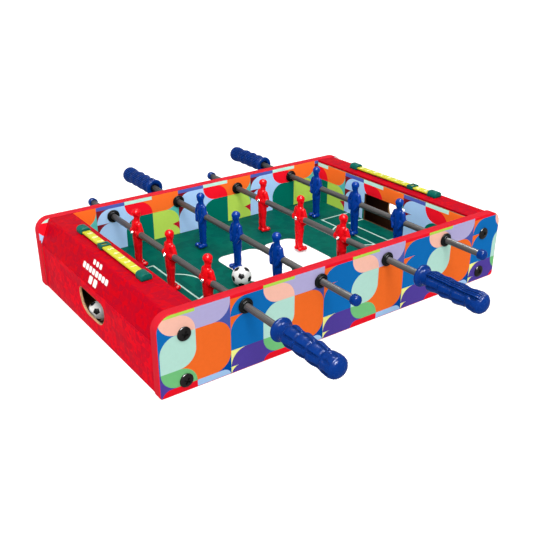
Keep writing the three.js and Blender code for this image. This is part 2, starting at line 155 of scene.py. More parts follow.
class Finish(Nodes):
    """A material being made, with one Principled shader and the nodes that feed it."""

    def __init__(self, name, colour, roughness, specular=0.5, metallic=0.0):
        self.material = bpy.data.materials.new(name)
        super().__init__(self.material)
        self.shader = self.tree.nodes["Principled BSDF"]
        self.set(self.shader, {"Roughness": roughness, "Specular IOR Level": specular, "Metallic": metallic})
        self.colour = self.add("ShaderNodeRGB").outputs[0]
        self.colour.default_value = linear(colour)
        self.place = self.add("ShaderNodeTexCoord").outputs["Object"]
        self.link(self.colour, self.shader.inputs["Base Color"])

    def noise(self, scale, detail=2.0, stretch=(1, 1, 1)):
        """Soft noise from 0 to 1, scale times a metre, drawn out along an axis where stretch is small."""
        inputs = {"Vector": self.vector("MULTIPLY", self.place, stretch), "Scale": scale, "Detail": detail}
        return self.add("ShaderNodeTexNoise", inputs).outputs["Fac"]

    def tint(self, mask, colour):
        """Turns the colour towards another where mask is above 0."""
        node = self.add("ShaderNodeMix", data_type="RGBA")
        self.set(node, {0: mask, 6: self.colour, 7: linear(colour)})
        self.colour = node.outputs[2]
        self.link(self.colour, self.shader.inputs["Base Color"])

    def mottle(self, scale, detail, low, high, most, colour, stretch=(1, 1, 1)):
        """Turns the colour towards another by up to most, where soft noise goes from low to high."""
        self.tint(self.between(self.noise(scale, detail, stretch), low, high, 0.0, most), colour)

    def uneven_gloss(self, noise, smoothest, roughest):
        roughness = self.between(noise, 0.3, 0.7, smoothest, roughest)
        self.link(roughness, self.shader.inputs["Roughness"])

    def bump(self, height, depth_mm, strength=1.0):
        inputs = {"Height": height, "Distance": depth_mm * MM, "Strength": strength}
        node = self.add("ShaderNodeBump", inputs)
        previous = self.shader.inputs["Normal"]
        if previous.is_linked:
            self.link(previous.links[0].from_socket, node.inputs["Normal"])
        self.link(node.outputs["Normal"], previous)

    def quarter_discs(self, place, cell_mm):
        """A mosaic mask: in every square cell one quarter disc, turned and toned at random."""
        cells = self.vector("SCALE", place, scale=1 / (cell_mm * MM))
        chance = self.add("ShaderNodeTexWhiteNoise", {"Vector": self.vector("FLOOR", cells)})
        flips = self.vector("FLOOR", self.vector("SCALE", chance.outputs["Color"], scale=2.0))
        corner = self.vector("ABSOLUTE", self.vector("SUBTRACT", self.vector("FRACTION", cells), flips))
        distance = self.vector("LENGTH", self.vector("MULTIPLY", corner, (1, 1, 0)))
        disc = self.between(distance, 0.98, 1.02, 1.0, 0.0)
        return self.math("MULTIPLY", disc, self.between(chance.outputs["Value"], 0.25, 0.9))


PRINT_SPECULAR = 0.01
PLASTIC_SPECULAR = 0.06
OUTSIDE_GAIN = 0.86  # how much of its ink's light a print on the outside gives back
# Painted light: a print inside the table is brightened by this gain, more than the same ink outside.
INSIDE_PAINTED_LIGHT_GAIN = 1.12
INSIDE_PAINTED_GLOW = 0.16  # painted light: the prints inside the table glow a little, though they are no lamp
RED_TILES = (5.2, 10.4)  # sizes of the quarter discs in the red and in the pitch print
PITCH_TILES = ((20.8, 0.75, (0, 82, 74)), (10.4, 0.60, (0, 80, 74)))


def scaled(colour, share):
    return tuple(value * share for value in colour)


def gained(colour, gain):
    """A display colour whose light is scaled by a gain."""
    return tuple(min(255.0, value) for value in scaled(colour, gain ** (1 / 2.2)))


def red_pattern(finish):
    """Quarter discs that run on from the end wall over the slope to the deck."""
    along, across, up = finish.add("ShaderNodeSeparateXYZ", {0: finish.place}).outputs
    run = finish.math("SUBTRACT", up, finish.math("ABSOLUTE", along))
    place = finish.add("ShaderNodeCombineXYZ", {0: across, 1: run}).outputs[0]
    small, large = [finish.quarter_discs(place, size) for size in RED_TILES]
    finish.tint(finish.math("MULTIPLY", finish.math("MAXIMUM", small, large), 0.42), (128, 12, 44))


def pitch_pattern(finish):
    flat = finish.vector("MULTIPLY", finish.place, (1, 1, 0))
    for size, strength, colour in PITCH_TILES:
        finish.tint(finish.math("MULTIPLY", finish.quarter_discs(flat, size), strength), colour)


def printed(ink, pattern=None, indoors=False):
    """Printed foil on board: an even ink with a faint mottle and the soft peel of a pressed foil. Inside the
    table the ink is brightened and glows a little, as painted light.
    """
    # Inside copies of an ink are brighter than outside ones: painted light.
    colour = gained(INKS[ink], INSIDE_PAINTED_LIGHT_GAIN if indoors else OUTSIDE_GAIN)
    name = f"print_{ink}_{'inside' if indoors else 'outside'}"
    finish = Finish(name, colour, 0.46, specular=PRINT_SPECULAR)
    # Painted light: inside the table the print glows with its own colour.
    if indoors:
        glow = {"Emission Color": linear(colour), "Emission Strength": INSIDE_PAINTED_GLOW}
        finish.set(finish.shader, glow)
    finish.mottle(260, 3, 0.35, 0.75, 0.10, scaled(colour, 0.82))
    if pattern:
        pattern(finish)
    finish.uneven_gloss(finish.noise(120, 4), 0.38, 0.48)
    finish.bump(finish.noise(900, 2), 0.02, 0.25)
    return finish.material


def fibreboard(name, colour):
    """Raw fibreboard: short fibres in two shades, matt."""
    finish = Finish(name, colour, 0.85, specular=0.2)
    finish.mottle(900, 6, 0.35, 0.7, 1.0, scaled(colour, 0.62), stretch=(1, 1, 0.25))
    finish.mottle(70, 4, 0.4, 0.75, 0.5, scaled(colour, 1.2))
    finish.bump(finish.noise(1400, 5), 0.08, 0.6)
    return finish.material


# How far and how strongly the painted shade darkens the recesses of moulded plastic.
PAINTED_SHADE_REACH = 4.0
PAINTED_RECESS_SHADE = 0.9
SKIN_GRAIN = 1800


def moulded(name, colour, roughness, specular=0.5, glow=0.0):
    """Moulded plastic: glossy, with painted shade darkening its recesses, faint flow marks and a fine eroded
    skin.
    """
    finish = Finish(name, colour, roughness, specular)
    finish.mottle(60, 3, 0.35, 0.8, 0.22, scaled(colour, 0.75))
    # Painted shade: an occlusion mask darkens the colour in recesses and creases.
    shade = finish.add("ShaderNodeAmbientOcclusion", {"Distance": PAINTED_SHADE_REACH * MM}, samples=8)
    finish.tint(finish.between(shade.outputs["AO"], 0.35, 0.95, PAINTED_RECESS_SHADE, 0.0), scaled(colour, 0.3))
    finish.uneven_gloss(finish.noise(300, 4), roughness - 0.05, roughness + 0.07)
    finish.bump(finish.noise(SKIN_GRAIN, 3), 0.015, 0.35)
    if glow:
        finish.set(finish.shader, {"Subsurface Weight": glow, "Subsurface Scale": 0.002})
        finish.set(finish.shader, {"Subsurface Radius": (1.0, 0.4, 0.3)})
    return finish.material


def brushed_steel():
    """Drawn steel tube: long streaks along the tube in tone, gloss and relief."""
    colour = (94, 93, 92)
    finish = Finish("rod_steel", colour, 0.3, specular=0.1, metallic=0.35)
    streaks = finish.noise(900, 4, (1, 0.012, 1))
    finish.tint(finish.between(streaks, 0.35, 0.7), (66, 65, 65))
    finish.uneven_gloss(streaks, 0.22, 0.42)
    finish.bump(streaks, 0.02, 0.3)
    return finish.material


def bright_screw():
    finish = Finish("screw_steel", (222, 222, 220), 0.22, metallic=1.0)
    finish.uneven_gloss(finish.noise(700, 3), 0.16, 0.3)
    finish.bump(finish.noise(1500, 2), 0.01, 0.3)
    return finish.material


PATTERNS = {"cover_red": red_pattern, "wall_red": red_pattern, "pitch": pitch_pattern}
INSIDE_ONLY = ("maroon", "maroon_red", "teal", "grass", "forest")
INSIDE_INKS = (*INSIDE_ONLY, "indigo", "sky", "mint", "red", "orange", "white")
PRINTS = {ink: printed(ink, PATTERNS.get(ink)) for ink in INKS if ink not in INSIDE_ONLY}
INSIDE_PRINTS = {ink: printed(ink, indoors=True) for ink in INSIDE_INKS}
RAW_BOARD = fibreboard("raw_board", (150, 112, 74))
CUT_BOARD = fibreboard("cut_board", (206, 160, 108))
STEEL = brushed_steel()
SCREW_STEEL = bright_screw()
BLACK = moulded("black_plastic", (15, 18, 19), 0.3, PLASTIC_SPECULAR)
BOLT_BLACK = moulded("bolt_black", (12, 8, 9), 0.18, 0.2)
TEAM_PLASTIC = {
    "red": moulded("red_plastic", (232, 8, 22), 0.26, PLASTIC_SPECULAR, glow=0.08),
    "blue": moulded("blue_plastic", (0, 57, 150), 0.26, PLASTIC_SPECULAR, glow=0.05),
}
HANDLE_PLASTIC = moulded("handle_plastic", (0, 48, 124), 0.24, PLASTIC_SPECULAR)
YELLOW = moulded("rail_yellow", (208, 206, 56), 0.3, PLASTIC_SPECULAR)
# Painted highlight: the digits are a paler copy of the rail's yellow, for the light on their raised faces.
DIGIT_HIGHLIGHT_YELLOW = moulded("rail_digits", (253, 252, 186), 0.4, PLASTIC_SPECULAR)
GREEN = moulded("marker_green", (0, 98, 86), 0.3, PLASTIC_SPECULAR)
BALL_WHITE = moulded("ball_white", (240, 240, 238), 0.26, PLASTIC_SPECULAR)
BALL_BLACK = moulded("ball_black", (16, 16, 18), 0.3, PLASTIC_SPECULAR)


# Mesh helpers


def new_object(name, mesh):
    made = bpy.data.objects.new(name, mesh)
    bpy.context.scene.collection.objects.link(made)
    return made


def new_mesh(name, points, faces, finishes, face_finish=None, smooth=None, crease=35):
    """A mesh from points in millimetres, welded, facing out. smooth is one flag for each face."""
    mesh = bpy.data.meshes.new(name)
    mesh.from_pydata([tuple(MM * c for c in p) for p in points], [], faces)
    for finish in finishes:
        mesh.materials.append(finish)
    if face_finish is not None:
        mesh.polygons.foreach_set("material_index", face_finish)
    mesh.polygons.foreach_set("use_smooth", smooth if smooth is not None else [True] * len(faces))
    work = bmesh.new()
    work.from_mesh(mesh)
    bmesh.ops.remove_doubles(work, verts=work.verts, dist=WELD)
    bmesh.ops.dissolve_degenerate(work, edges=work.edges, dist=WELD / 4)
    bmesh.ops.delete(work, geom=[v for v in work.verts if not v.link_faces], context="VERTS")
    bmesh.ops.recalc_face_normals(work, faces=work.faces)
    work.to_mesh(mesh)
    work.free()
    mesh.set_sharp_from_angle(angle=math.radians(crease))
    return mesh


def shaded_smooth(mesh, crease):
    """The mesh with smooth faces, and sharp where they meet at more than the crease angle."""
    mesh.polygons.foreach_set("use_smooth", [True] * len(mesh.polygons))
    mesh.set_sharp_from_angle(angle=math.radians(crease))
    return mesh


def piece(name, mesh, body, slot, *nodes, at=(0, 0, 0), turn=FACING[True]):
    """A shown piece: a mesh at a place in millimetres that rides on a body and stands for CAD nodes."""
    made = new_object(name, mesh)
    made.matrix_world = Matrix.Translation(Vector(at) * MM) @ turn
    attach(made, body)
    if nodes:
        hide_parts(*nodes)


def detail(node, mesh, body, slot, **placing):
    """The piece that shows one CAD node in detail."""
    piece(f"{node}_detail", mesh, body, slot, node, **placing)


def applied(source, *modifiers):
    """The mesh of an object with modifiers, each (type, settings), applied. The object is removed."""
    for kind, settings in modifiers:
        modifier = source.modifiers.new(kind, kind)
        for key, value in settings.items():
            setattr(modifier, key, value)
    graph = bpy.context.evaluated_depsgraph_get()
    mesh = bpy.data.meshes.new_from_object(source.evaluated_get(graph), depsgraph=graph)
    bpy.data.objects.remove(source)
    return mesh


def carved(mesh, cutters, *then):
    """A mesh less the cutter meshes, with more modifiers after that."""
    source = new_object("carving", mesh)
    tools = [new_object("cutter", cutter) for cutter in cutters]
    cuts = [("BOOLEAN", {"operation": "DIFFERENCE", "solver": "EXACT", "object": tool}) for tool in tools]
    result = applied(source, *cuts, *then)
    for tool in tools:
        bpy.data.objects.remove(tool)
    return result


def rounded_rectangle(left, bottom, right, top, radii=(0, 0, 0, 0), steps=10):
    """Anticlockwise outline. The radii start at the bottom left corner."""
    corners = ((left, bottom, 1, 1), (right, bottom, -1, 1), (right, top, -1, -1), (left, top, 1, -1))
    points = []
    for index, (x, y, inward_x, inward_y) in enumerate(corners):
        radius = radii[index]
        if radius <= 0:
            points.append((x, y))
            continue
        centre = (x + inward_x * radius, y + inward_y * radius)
        start = math.pi + index * math.pi / 2
        for step in range(steps + 1):
            angle = start + step * math.pi / 2 / steps
            points.append((centre[0] + radius * math.cos(angle), centre[1] + radius * math.sin(angle)))
    return points


def circle(x, y, radius, count=40, start=0.0):
    angles = [start + 2 * math.pi * i / count for i in range(count)]
    return [(x + radius * math.cos(a), y + radius * math.sin(a)) for a in angles]


def softened(points, radius, closed=True, steps=4):
    """The line with every corner cut back by up to radius and rounded."""
    count = len(points)
    result = []
    for index, point in enumerate(points):
        if not closed and index in (0, count - 1):
            result.append(point)
            continue
        corner = Vector(point)
        back = Vector(points[index - 1]) - corner
        on = Vector(points[(index + 1) % count]) - corner
        reach = min(radius, back.length * 0.45, on.length * 0.45)
        start, end = corner + back.normalized() * reach, corner + on.normalized() * reach
        for step in range(steps + 1):
            share = step / steps
            bend = start * (1 - share) ** 2 + corner * 2 * share * (1 - share) + end * share**2
            result.append(tuple(bend))
    return result


def offset_loop(loop, distance):
    """The closed loop moved to its left by a distance, with mitred corners."""
    points = np.array(loop, float)
    ahead = np.roll(points, -1, 0) - points
    ahead /= np.linalg.norm(ahead, axis=1)[:, None]
    left = np.stack([-ahead[:, 1], ahead[:, 0]], 1)
    mitre = left + np.roll(left, 1, 0)
    mitre /= (mitre * left).sum(1)[:, None]
    return points + mitre * distance


def inside(polygon, points):
    """Which points lie in the polygon."""
    found = np.zeros(len(points), bool)
    outline = np.array(polygon, float)
    for (x0, y0), (x1, y1) in zip(outline, np.roll(outline, -1, 0)):
        if y0 == y1:
            continue
        crosses = (points[:, 1] >= y0) != (points[:, 1] >= y1)
        found ^= crosses & (points[:, 0] < (x1 - x0) * (points[:, 1] - y0) / (y1 - y0) + x0)
    return found


def split_plane(loops, shapes, folds):
    """Triangles of the plane whose edges follow every loop, shape and fold line."""
    points, edges = [], []
    for line in [*loops, *shapes, *folds]:
        start, count = len(points), len(line)
        points += [Vector((float(x), float(y))) for x, y in line]
        closing = count if count > 2 else 1
        edges += [(start + i, start + (i + 1) % count) for i in range(closing)]
    places, _, triangles = delaunay_2d_cdt(points, edges, [], 0, 1e-5)[:3]
    return np.array([tuple(p) for p in places]), triangles


def stations(loop, places):
    """Where along the loop's edges the places lie, as (edge, share)."""
    found = set()
    points = np.array(loop, float)
    for edge, (a, b) in enumerate(zip(points, np.roll(points, -1, 0))):
        along = b - a
        span = np.linalg.norm(along)
        share = ((places - a) @ along) / span**2
        away = np.abs((places - a) @ np.array([-along[1], along[0]])) / span
        for value in share[(away < 1e-3) & (share * span > 2e-3) & ((1 - share) * span > 2e-3)]:
            found.add((edge, round(float(value), 7)))
    return found


def at_stations(loop, where):
    points = np.array(loop, float)
    following = np.roll(points, -1, 0)
    return [tuple(points[e] * (1 - s) + following[e] * s) for e, s in where]


def board(name, outline, thickness, place, front, back, edge, holes=(), hole_edge=None, pockets=(),
          folds=(), radius=0.8, arc_steps=4):
    """A board with rounded edges whose two faces are split along their printed shapes.

    place(a, b, depth) puts a point of the drawing in the frame. front and back are (base finish, shapes),
    each shape (finish, outline), with later shapes over earlier ones. holes go through, and pockets, each
    (outline, depth), are cut into the back.
    """
    loops = [list(outline)] + [list(hole)[::-1] for hole in holes]
    cuts = [list(pocket)[::-1] for pocket, _ in pockets]
    rims = [offset_loop(loop, radius) for loop in loops]
    faces_drawn = ((front, rims), (back, rims + cuts))
    where = [{(edge_index, 0.0) for edge_index in range(len(loop))} for loop in loops]
    for (_, shapes), bounds in faces_drawn:
        places, _ = split_plane(bounds, [shape for _, shape in shapes], folds)
        for index, rim in enumerate(rims):
            where[index] |= stations(rim, places)
    where = [sorted(found) for found in where]

    finishes, points, faces, numbers, smooth = [], [], [], [], []

    def number(finish):
        if finish not in finishes:
            finishes.append(finish)
        return finishes.index(finish)

    for ((base, shapes), bounds), depth in zip(faces_drawn, (0.0, thickness)):
        exact = [at_stations(rim, found) for rim, found in zip(rims, where)]
        exact += cuts[: len(bounds) - len(rims)]
        places, triangles = split_plane(exact, [shape for _, shape in shapes], folds)
        middles = np.array([places[list(t)].mean(0) for t in triangles])
        kept = inside(exact[0], middles)
        for hole in exact[1:]:
            kept &= ~inside(hole, middles)
        inks = np.full(len(triangles), number(base))
        for finish, shape in shapes:
            inks[inside(shape, middles)] = number(finish)
        start = len(points)
        points += [place(a, b, depth) for a, b in places]
        for index in np.flatnonzero(kept):
            faces.append([start + corner for corner in triangles[index]])
            numbers.append(int(inks[index]))
            smooth.append(False)

    turns = [math.pi / 2 * step / arc_steps for step in range(arc_steps + 1)]
    levels = [(radius * (1 - math.sin(t)), radius * (1 - math.cos(t))) for t in turns]
    levels += [(inset, thickness - depth) for inset, depth in reversed(levels)]
    for index, loop in enumerate(loops):
        finish = number(edge if index == 0 or hole_edge is None else hole_edge)
        rings = []
        for inset, depth in levels:
            ring = at_stations(offset_loop(loop, inset), where[index])
            rings.append(range(len(points), len(points) + len(ring)))
            points += [place(a, b, depth) for a, b in ring]
        for upper, lower in zip(rings, rings[1:]):
            for i in range(len(upper)):
                j = (i + 1) % len(upper)
                faces.append([upper[i], upper[j], lower[j], lower[i]])
                numbers.append(finish)
                smooth.append(True)
    for (pocket, depth), loop in zip(pockets, cuts):
        count, start = len(loop), len(points)
        points += [place(a, b, thickness) for a, b in loop]
        points += [place(a, b, thickness - depth) for a, b in loop]
        faces += [[start + i, start + (i + 1) % count, start + count + (i + 1) % count, start + count + i]
                  for i in range(count)]
        faces.append([start + count + i for i in range(count)])
        numbers += [number(RAW_BOARD)] * (count + 1)
        smooth += [False] * (count + 1)
    return new_mesh(name, points, faces, finishes, numbers, smooth, crease=50)


def lathe(name, profile, finish, segments=48, closed=False, radius_at=None, crease=35):
    """A turned piece about Y from (radius, along) points. radius_at may vary the radius round a ring."""
    points, rings = [], []
    for index, (radius, along) in enumerate(profile):
        if radius <= 0:
            rings.append([len(points)] * segments)
            points.append((0, along, 0))
            continue
        rings.append(list(range(len(points), len(points) + segments)))
        for step in range(segments):
            angle = 2 * math.pi * step / segments
            reach = radius if radius_at is None else radius_at(index, angle, radius)
            points.append((reach * math.sin(angle), along, reach * math.cos(angle)))
    faces = []
    pairs = list(zip(rings, rings[1:])) + ([(rings[-1], rings[0])] if closed else [])
    for first, second in pairs:
        for i in range(segments):
            j = (i + 1) % segments
            corners = [first[i], first[j], second[j], second[i]]
            faces.append(list(dict.fromkeys(corners)))
    return new_mesh(name, points, faces, [finish], crease=crease)


def block_mesh(name, low, high, finish):
    """A plain block between two corners, for carving."""
    corners = [(x, y, z) for x in (low[0], high[0]) for y in (low[1], high[1]) for z in (low[2], high[2])]
    faces = [(0, 1, 3, 2), (4, 6, 7, 5), (0, 4, 5, 1), (2, 3, 7, 6), (0, 2, 6, 4), (1, 5, 7, 3)]
    return new_mesh(name, corners, faces, [finish])


def shown_board(node, slot, *drawing, **options):
    """A board that stands for a CAD node of the table."""
    detail(node, board(node, *drawing, **options), "table", slot)


# Printed art. A column is a list of cells from the top: (bottom, top, ink, inks behind its rounded corners).

COLUMN_WIDTH = 41.73
CELL_RADIUS = 20.0
OUTER_COLUMNS = (
    (
        (89.5, 96, "lime", {}),
        (69, 89.5, "peach", {"bl": "blue", "tr": "lavender"}),
        (28.5, 69, "mint", {"tl": "blue", "br": "orange"}),
        (8.5, 28.5, "leaf", {"bl": "purple", "tr": "orange"}),
        (-2, 8.5, "red", {"tl": "purple"}),
    ),
    (
        (69, 96, "lavender", {"br": "indigo"}),
        (8.5, 69, "orange", {"tr": "indigo", "br": "navy"}),
        (-2, 8.5, "sky", {"tr": "navy"}),
    ),
    (
        (89.5, 96, "red", {}),
        (69, 89.5, "blue", {"tl": "orange"}),
        (28.5, 69, "blue", {"tl": "orange"}),
        (8.5, 28.5, "purple", {"tl": "straw"}),
        (-2, 8.5, "purple", {"tl": "straw"}),
    ),
)
INNER_COLUMNS = (
    (
        (88, 96, "indigo", {}),
        (68, 88, "sky", {"tl": "maroon"}),
        (-2, 68, "sky", {"tl": "maroon"}),
    ),
    (
        (88, 96, "mint", {}),
        (68, 88, "red", {"bl": "sky", "tr": "orange"}),
        (-2, 68, "forest", {"tl": "sky", "br": "grass"}),
    ),
    (
        (68, 96, "orange", {"br": "teal"}),
        (28, 68, "grass", {"tr": "teal"}),
        (-2, 28, "grass", {}),
    ),
)
CORNERS = ("bl", "br", "tr", "tl")
NOTCH_TOP, NOTCH_WIDTH, NOTCH_SHOULDER, NOTCH_DROP = 47, 11, 2.5, 11.5


def cell(left, bottom, right, top, ink, behind, prints):
    """A cell of the print: squares of the inks behind its rounded corners, then the cell over them."""
    radius = min(CELL_RADIUS, top - bottom, right - left)
    shapes = []
    for corner, other in behind.items():
        x = left if corner[1] == "l" else right - radius
        y = bottom if corner[0] == "b" else top - radius
        shapes.append((prints[other], rounded_rectangle(x, y, x + radius, y + radius)))
    radii = [radius if corner in behind else 0 for corner in CORNERS]
    shapes.append((prints[ink], rounded_rectangle(left, bottom, right, top, radii, 12)))
    return shapes


def notch(right, height):
    """A small pointed leaf that enters a cell from its right side."""
    points = [(right, height)]
    for step in range(9):
        share = step / 8
        left = right - NOTCH_WIDTH * (1 - share) ** 1.6
        points.append((left, height - NOTCH_SHOULDER - NOTCH_DROP * share))
    return [(INSIDE_PRINTS["maroon_red"], points)]


def mosaic(columns, prints, start, low, high, lift=0.0):
    """Cells in columns from low to high. A first column of the pattern has its left edge at start."""
    shapes = []
    index = math.floor((low - start) / COLUMN_WIDTH)
    while start + index * COLUMN_WIDTH < high:
        left = start + index * COLUMN_WIDTH
        for bottom, top, ink, behind in columns[index % len(columns)]:
            shapes += cell(left, bottom + lift, left + COLUMN_WIDTH, top + lift, ink, behind, prints)
            if ink == "grass" and bottom > 0:
                shapes += notch(left + COLUMN_WIDTH, NOTCH_TOP + lift)
        index += 1
    return shapes


# Boards

BOARD_RADIUS = 0.5
SAWN_RADIUS = 0.3
PANEL_RADIUS = 1.0
BOLT_X = 225.2
BOLT_HEIGHTS = (13.5, 68)
BOLT_HOLE = 2.8
BUSHING_HOLE = 7.0
MARGIN_TOP = 66.0  # the panels' inner faces are plain red past the end walls, up to here
PANEL_CORNERS = (4, 4, 18, 18)
GROOVE_GAP = 0.3  # round the edge of the playfield board
GROOVE_DEPTH = 4.0
OUTER_START, INNER_START, GOAL_START = -253.6, -175.3, -87.0  # left edges of a first column


def rod_places():
    """The middle of each rod, as (x, z)."""
    places = []
    for index in range(1, 5):
        low, high = box_mm(f"rod_{index}")
        places.append(((low.x + high.x) / 2, (low.z + high.z) / 2))
    return places


def side_panel(face, sign):
    node = f"{face}_side_panel"
    low, high = box_mm(node)
    outer_y = max(abs(low.y), abs(high.y))
    outline = rounded_rectangle(low.x, low.z, high.x, high.z, PANEL_CORNERS, 16)
    holes = [circle(x, z, BUSHING_HOLE) for x, z in rod_places()]
    holes += [circle(side * BOLT_X, z, BOLT_HOLE, 20) for side in (-1, 1) for z in BOLT_HEIGHTS]
    groove_low, groove_high = box_mm("playfield_board")
    left, bottom = groove_low.x - GROOVE_GAP, groove_low.z - GROOVE_GAP
    groove = rounded_rectangle(left, bottom, groove_high.x + GROOVE_GAP, groove_high.z + GROOVE_GAP)
    inner_print = mosaic(INNER_COLUMNS, INSIDE_PRINTS, INNER_START, low.x, high.x)
    margin = high.x - box_mm("right_end_wall")[1].x
    for left in (low.x, high.x - margin):
        inner_print.append((PRINTS["edge_red"], rounded_rectangle(left, low.z, left + margin, MARGIN_TOP)))
    shown_board(
        node, "side_panel_print", outline, high.y - low.y,
        lambda a, b, depth: (a, sign * (outer_y - depth), b),
        (PRINTS["red"], mosaic(OUTER_COLUMNS, PRINTS, OUTER_START, low.x, high.x)),
        (INSIDE_PRINTS["red"], inner_print),
        PRINTS["edge_red"], holes=holes, pockets=[(groove, GROOVE_DEPTH)], radius=PANEL_RADIUS,
    )


LINE_WIDTH = 2.5
# Lines on the pitch: boxes as (left, right, half width), arcs as the middle of a circle
PITCH_BOXES = ((-300, -135, 76), (153, 300, 76), (178, 300, 42), (-300, -160, 42))
PITCH_ARCS = (-148, 166)
ARC_RADIUS = 43.5
# White patches in the middle: (left, bottom, right, top, corner radius)
CENTRE_PATCHES = ((-57, -46, 9, 48, 14), (19, -50, 73, 48, 14), (0, -30, 30, 30, 0))


def framed(left, bottom, right, top, width, ink, fill):
    """A rectangle drawn as a line of a width, centred on its outline."""
    half = width / 2
    return [
        (PRINTS[ink], rounded_rectangle(left - half, bottom - half, right + half, top + half)),
        (PRINTS[fill], rounded_rectangle(left + half, bottom + half, right - half, top - half)),
    ]


def centre_patches():
    """The plain white patches in the middle of the pitch."""
    shapes = []
    for left, bottom, right, top, radius in CENTRE_PATCHES:
        patch = rounded_rectangle(left, bottom, right, top, (radius,) * 4)
        shapes.append((INSIDE_PRINTS["white"], patch))
    return shapes


def playfield():
    node = "playfield_board"
    low, high = box_mm(node)
    shapes = []
    for x in PITCH_ARCS:
        shapes.append((PRINTS["line"], circle(x, 0, ARC_RADIUS + LINE_WIDTH / 2, 72)))
        shapes.append((PRINTS["pitch"], circle(x, 0, ARC_RADIUS - LINE_WIDTH / 2, 72)))
    for left, right, half in PITCH_BOXES:
        shapes += framed(left, -half, right, half, LINE_WIDTH, "line", "pitch")
    shapes += centre_patches()
    outline = rounded_rectangle(low.x, low.y, high.x, high.y)
    shown_board(
        node, "pitch_print", outline, high.z - low.z, lambda a, b, depth: (a, b, high.z - depth),
        (PRINTS["pitch"], shapes), (RAW_BOARD, []), RAW_BOARD, radius=SAWN_RADIUS, arc_steps=2,
    )


def base_board():
    node = "base_board"
    low, high = box_mm(node)
    outline = rounded_rectangle(low.x, low.y, high.x, high.y, (1, 1, 1, 1), 3)
    shown_board(
        node, "raw_board", outline, high.z - low.z, lambda a, b, depth: (a, b, high.z - depth),
        (RAW_BOARD, []), (RAW_BOARD, []), CUT_BOARD, radius=SAWN_RADIUS, arc_steps=2,
    )


GOAL_MOUTH = rounded_rectangle(-41.5, 26.9, 41.5, 68)
GOAL_PRINT_LIFT = -3.9  # the goal walls are cut from a sheet printed like the panels


def goal_wall(side, sign):
    node = f"{side}_goal_wall"
    low, high = box_mm(node)
    face_x = min(abs(low.x), abs(high.x))
    print_shapes = mosaic(INNER_COLUMNS, INSIDE_PRINTS, GOAL_START, low.y, high.y, GOAL_PRINT_LIFT)
    shown_board(
        node, "goal_wall_print", rounded_rectangle(low.y, low.z, high.y, high.z), high.x - low.x,
        lambda a, b, depth: (sign * (face_x + depth), -sign * a, b),
        (INSIDE_PRINTS["red"], print_shapes), (PRINTS["board_brown"], []), CUT_BOARD,
        holes=[GOAL_MOUTH], hole_edge=PRINTS["board_brown"], radius=BOARD_RADIUS, arc_steps=3,
    )


RETURN_HOLE = rounded_rectangle(-34, 19.3, 34, 50, (21.5, 21.5, 8, 8), 14)


def end_wall(side, sign):
    node = f"{side}_end_wall"
    low, high = box_mm(node)
    face_x = max(abs(low.x), abs(high.x))
    shown_board(
        node, "red_board", rounded_rectangle(low.y, low.z, high.y, high.z), high.x - low.x,
        lambda a, b, depth: (sign * (face_x - depth), a, b),
        (PRINTS["wall_red"], []), (PRINTS["board_brown"], []), PRINTS["wall_red"],
        holes=[RETURN_HOLE], hole_edge=CUT_BOARD, radius=BOARD_RADIUS, arc_steps=3,
    )


FOLD_RADIUS = 3.6
FOLD_STEPS = 6
DECK_OUTER_X = 240.0
MITRE_REACH = 6.0
COVER_THICKNESS = 3.0
MOTIF_MIDDLE = 3.5
TILE_RADIUS = 1.6
# Rows of tiles on the slope: (count, height, size, pitch)
MOTIF_ROWS = ((3, 28.5, 6.0, 8.4), (8, 18.0, 7.0, 8.6), (2, 7.5, 9.0, 12.4))


def tile_motif(middle):
    """Centred rows of plain white tiles on the slope."""
    shapes = []
    for count, height, size, pitch in MOTIF_ROWS:
        for index in range(count):
            a = middle + (index - (count - 1) / 2) * pitch
            half = size / 2
            corners = (a - half, height - half, a + half, height + half)
            tile = rounded_rectangle(*corners, (TILE_RADIUS,) * 4, 6)
            shapes.append((PRINTS["white"], tile))
    return shapes


def end_cover(side, sign):
    """The deck and the slope in one folded board, drawn flat: b runs up the slope and on over the deck."""
    node = f"{side}_end_cover"
    low, high = box_mm(node)
    face_x = max(abs(low.x), abs(high.x))
    inner_x = min(abs(low.x), abs(high.x))
    run, rise = face_x - DECK_OUTER_X, high.z - low.z
    slope = math.hypot(run, rise)
    turn = math.atan2(rise, run)
    cut_back = FOLD_RADIUS * math.tan(turn / 2)
    fold_start = slope - cut_back
    fold_end = fold_start + FOLD_RADIUS * turn
    length = fold_end + (DECK_OUTER_X - cut_back - inner_x)
    along = Vector((-run, rise)).normalized()
    outward = Vector((rise, run)).normalized()
    start = Vector((face_x, low.z))
    centre = start + along * fold_start - outward * FOLD_RADIUS

    def place(a, b, depth):
        if b <= fold_start:
            mitre = depth * (run / rise) * max(0.0, 1 - b / MITRE_REACH)
            point = start + along * (b + mitre) - outward * depth
        elif b < fold_end:
            angle = (b - fold_start) / FOLD_RADIUS
            point = centre + Matrix.Rotation(angle, 2) @ outward * (FOLD_RADIUS - depth)
        else:
            point = Vector((DECK_OUTER_X - cut_back - (b - fold_end), high.z - depth))
        return (sign * point.x, sign * a, point.y)

    folds = [[(low.y - 5, MITRE_REACH), (high.y + 5, MITRE_REACH)]]
    for step in range(FOLD_STEPS + 1):
        b = fold_start + (fold_end - fold_start) * step / FOLD_STEPS
        folds.append([(low.y - 5, b), (high.y + 5, b)])
    shown_board(
        node, "red_board", rounded_rectangle(low.y, 0, high.y, length), COVER_THICKNESS, place,
        (PRINTS["cover_red"], tile_motif(MOTIF_MIDDLE)), (PRINTS["board_brown"], []),
        PRINTS["cover_red"], folds=folds, radius=BOARD_RADIUS, arc_steps=3,
    )


